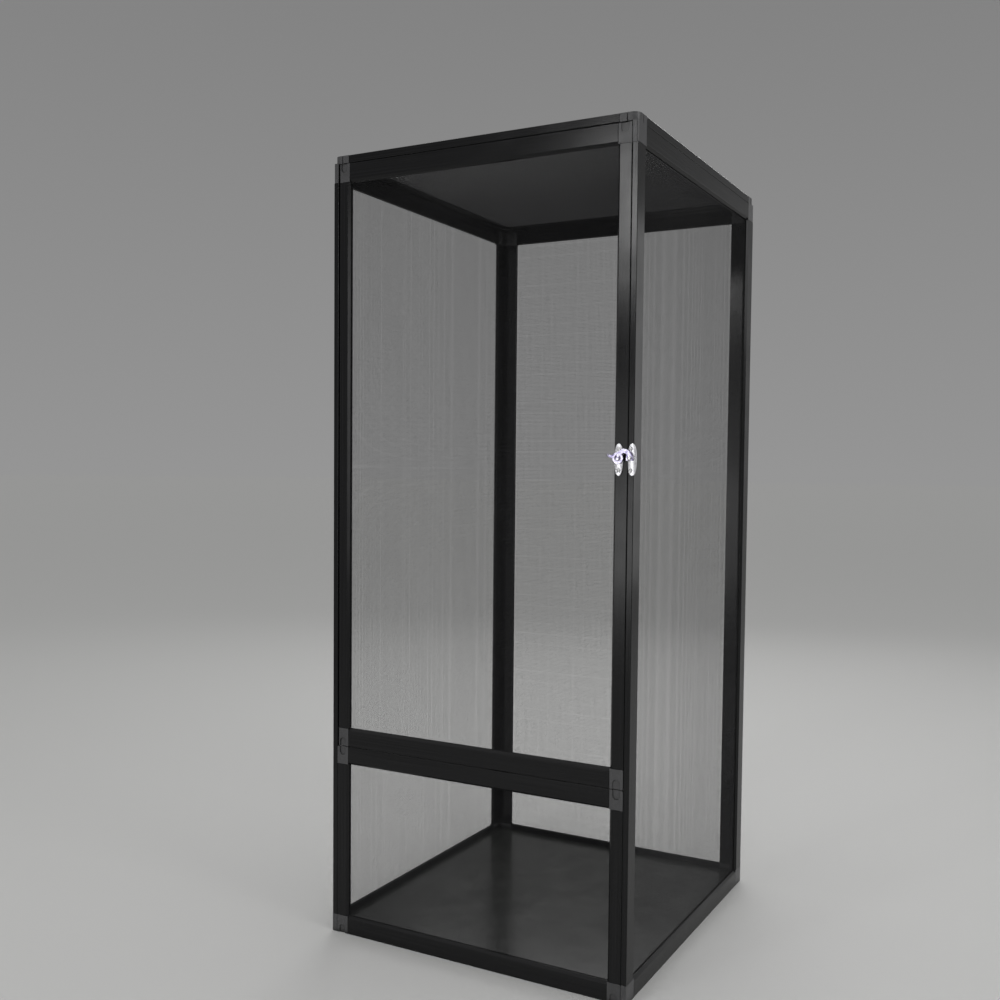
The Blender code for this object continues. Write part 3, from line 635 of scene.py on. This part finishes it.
def screwForm():
    # a countersunk screw head with a cross recess
    radius, back, front = (screwHead[key] for key in ("radius", "back", "front"))
    shank = radius * screwHead["shank"]
    rim = [(radius * share, front - depth) for share, depth in screwHead["rim"]]
    form = turnedForm([(0, back), (shank, back), (shank, front - screwHead["cone"]), *rim], arcSteps["screw"])
    arm, half, depth = screwHead["arm"], screwHead["armWidth"] / 2, screwHead["depth"]
    cross, quarter = [], [(half, half), (arm, half), (arm, -half)]
    for turn in range(4):
        cross += quarter
        quarter = [(y, -x) for x, y in quarter]
    cutter = flatForm([cross], [], front - depth, front + depth)
    for corner in cutter.verts:
        if corner.co.z < front:
            corner.co.xy *= screwHead["armTaper"]
    return cutBy(form, cutter)


def strokeOutline(points, widths):
    # outline of a bar that follows the points and changes evenly from one width to another
    left, right = [], []
    for index, (x, y) in enumerate(points):
        before, after = points[max(index - 1, 0)], points[min(index + 1, len(points) - 1)]
        along = Vector((after[0] - before[0], after[1] - before[1])).normalized()
        half = (widths[0] + (widths[1] - widths[0]) * index / (len(points) - 1)) / 2
        left.append((x - along.y * half, y + along.x * half))
        right.append((x + along.y * half, y - along.x * half))
    return left + right[::-1]


def hookForm():
    # boss, arch, claw and tail in one casting, with a ball knob at the tail's end
    pivot, steps = (0, 0), arcSteps
    near, far = pegOffset - latch["clawNear"], pegOffset + latch["clawFar"]
    radius = (pegOffset - latch["archStart"]) / 2
    arch = arcPoints((pegOffset - radius, latch["archRise"]), radius, 180, 0, steps["arch"])
    low, turn = latch["clawRound"] - latch["clawDrop"], latch["clawRound"]
    claw = arcPoints((near + turn, low), turn, 180, 270, steps["corner"])
    claw += arcPoints((far - turn, low), turn, 270, 360, steps["corner"])
    claw += arcPoints(((near + far) / 2, latch["archRise"]), (far - near) / 2, 0, 180, steps["claw"])
    mouth = arcPoints((pegOffset, 0), latch["notch"], 0, 180, steps["mouth"])
    mouth += arcPoints(pivot, pegOffset - latch["notch"], latch["mouthTop"], latch["mouthNear"], steps["path"])
    mouth += arcPoints(pivot, pegOffset + latch["notch"], latch["mouthFar"], latch["mouthTop"], steps["path"])
    outlines = [
        circlePoints(pivot, latch["bossRadius"], steps["boss"]),
        strokeOutline(arch, (latch["armWidth"], latch["armWidth"])),
        claw,
        strokeOutline([pivot, latch["knob"]], latch["tailWidths"]),
    ]
    bore = circlePoints(pivot, latch["bore"], steps["hole"])
    form = flatForm(outlines, [bore, mouth], latch["hookBack"], latch["hookFront"])
    middle = (latch["hookBack"] + latch["hookFront"]) / 2
    bmesh.ops.create_uvsphere(form, u_segments=32, v_segments=16, radius=latch["knobRadius"],
                              matrix=Matrix.Translation((*latch["knob"], middle)))
    return castForm(form)


def latchPiece(name, form, place, body, node=None, material=chromeMaterial, smoothDegrees=180):
    piece = addForm(name, form, material, place, smoothDegrees)
    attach(piece, body)
    if node:
        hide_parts(node)


def makeLatch():
    pivot = latchMatrix(pivotPlace.x, pivotPlace.z)
    peg = latchMatrix(pegPlace.x, pivotPlace.z)
    plateMiddle = sum(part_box("latch_keeper"), Vector()) / 2
    plateShift = (plateMiddle.x - pegPlace.x) / mm
    plateHeight = (plateMiddle.z - pivotPlace.z) / mm
    screwRise = (pegPlace.z - plateMiddle.z) / mm
    screws = [(0, plateHeight + screwRise), (0, plateHeight - screwRise)]
    latchPiece("latchPlate", plateForm(0, plateHeight, screws), pivot, "door", "latch_plate")
    latchPiece("keeperPlate", plateForm(plateShift, plateHeight, screws), peg, "frame", "latch_keeper")
    latchPiece("latchPivot", headedForm(latch["pivotRadius"], latch["pivotHead"], slotted=True), pivot, "door",
               material=hookMaterial, smoothDegrees=35)
    latchPiece("keeperPeg", headedForm(latch["pegRadius"], latch["pegHead"]), peg, "frame", smoothDegrees=35)
    latchPiece("latchHook", hookForm(), pivot, "latch_hook", "latch_hook", material=hookMaterial)
    for plate, body in (("latch", "door"), ("keeper", "frame")):
        for level in ("upper", "lower"):
            node = f"{plate}_{level}_screw"
            low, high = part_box(node)
            place = latchMatrix((low.x + high.x) / 2, (low.z + high.z) / 2)
            latchPiece(f"{plate}{level.title()}Screw", screwForm(), place, body, node,
                       material=steelMaterial, smoothDegrees=30)


makeLatch()
print("latch made")


# Stage, light and camera

studio = {
    "floor": (0.60, 0.60, 0.59),
    "floorRoughness": 0.6,
    "floorRadius": 60.0,
    "sky": [(0.0, 0.30), (0.42, 0.22), (0.60, 0.40), (1.0, 0.80)],    # height in the sky and its strength
    "aim": (0, 0, 0.5),    # what the lamps point at
}
lamps = {
    "overhead": {"place": (0.3, -0.4, 2.8), "size": (2.6, 2.6), "power": 15, "spread": 180},
    "right": {"place": (3.0, -0.5, 1.9), "size": (1.4, 1.6), "power": 6, "spread": 100},
    "frontHigh": {"place": (-0.96, -2.94, 1.60), "size": (0.28, 0.54), "power": 0.60, "spread": 50},
    "frontMiddle": {"place": (-1.00, -2.94, 0.80), "size": (0.6, 0.30), "power": 0.055, "spread": 50},
    "frontLow": {"place": (-1.00, -2.94, 0.35), "size": (0.6, 0.52), "power": 0.30, "spread": 50},
    "bevelStrip": {"place": (2.15, -2.09, 0.90), "size": (0.5, 1.4), "power": 0.30, "spread": 40},
    "behind": {"place": (-0.9, 2.8, 2.2), "size": (2.4, 1.0), "power": 8, "spread": 110},
    "sideStrip": {"place": (1.62, 3.0, 0.90), "size": (0.5, 1.6), "power": 0.2, "spread": 50},
}
viewpoint = {
    "place": (0.677, -1.287, 0.607),
    "turn": 26.8,
    "tilt": -2.6,
    "roll": 0.70,
    "lens": 38.05,
    "sensor": 36,
    "shift": (-0.071, 0.018),
    "near": 0.05,
}


def makeFloor():
    form = bmesh.new()
    bmesh.ops.create_circle(form, cap_ends=True, segments=96, radius=studio["floorRadius"])
    material, tree, shader = startMaterial("studio_floor")
    shader.inputs["Base Color"].default_value = (*studio["floor"], 1)
    shader.inputs["Roughness"].default_value = studio["floorRoughness"]
    floor = addForm("floor", form, material)


def makeSky():
    world = bpy.data.worlds.new("studio")
    bpy.context.scene.world = world
    world.use_nodes = True
    tree = world.node_tree
    place = tree.nodes.new("ShaderNodeTexCoord")
    split = tree.nodes.new("ShaderNodeSeparateXYZ")
    tree.links.new(place.outputs["Generated"], split.inputs["Vector"])
    ramp = tree.nodes.new("ShaderNodeValToRGB")
    while len(ramp.color_ramp.elements) < len(studio["sky"]):
        ramp.color_ramp.elements.new(0.5)
    for element, (height, strength) in zip(ramp.color_ramp.elements, studio["sky"]):
        element.position = height
        element.color = (strength, strength, strength, 1)
    tree.links.new(split.outputs["Z"], ramp.inputs["Fac"])
    tree.links.new(ramp.outputs["Color"], tree.nodes["Background"].inputs["Color"])


def makeLamps():
    aim = Vector(studio["aim"])
    for name, lamp in lamps.items():
        light = bpy.data.lights.new(name, "AREA")
        light.shape = "RECTANGLE"
        light.size, light.size_y = lamp["size"]
        light.energy = lamp["power"]
        light.spread = math.radians(lamp["spread"])
        holder = addObject(name, light)
        holder.location = lamp["place"]
        holder.rotation_euler = (aim - holder.location).to_track_quat("-Z", "Y").to_euler()
        holder.visible_camera = False


def makeCamera():
    turn, tilt, roll = (math.radians(viewpoint[key]) for key in ("turn", "tilt", "roll"))
    ahead = Vector((-math.sin(turn) * math.cos(tilt), math.cos(turn) * math.cos(tilt), math.sin(tilt)))
    right = Vector((math.cos(turn), math.sin(turn), 0))
    up = right.cross(ahead)
    right, up = math.cos(roll) * right + math.sin(roll) * up, math.cos(roll) * up - math.sin(roll) * right
    camera = bpy.data.cameras.new("camera")
    camera.lens = viewpoint["lens"]
    camera.sensor_width = viewpoint["sensor"]
    camera.shift_x, camera.shift_y = viewpoint["shift"]
    camera.clip_start = viewpoint["near"]
    holder = addObject("camera", camera)
    turnMatrix = Matrix((right, up, -ahead)).transposed().to_4x4()
    holder.matrix_world = Matrix.Translation(viewpoint["place"]) @ turnMatrix
    bpy.context.scene.camera = holder


makeFloor()
makeSky()
makeLamps()
makeCamera()
bpy.context.scene.view_settings.view_transform = "Standard"
bpy.context.scene.cycles.denoising_input_passes = "RGB"    # keeps the fine mesh free of stripes
print("stage, lamps and camera set")
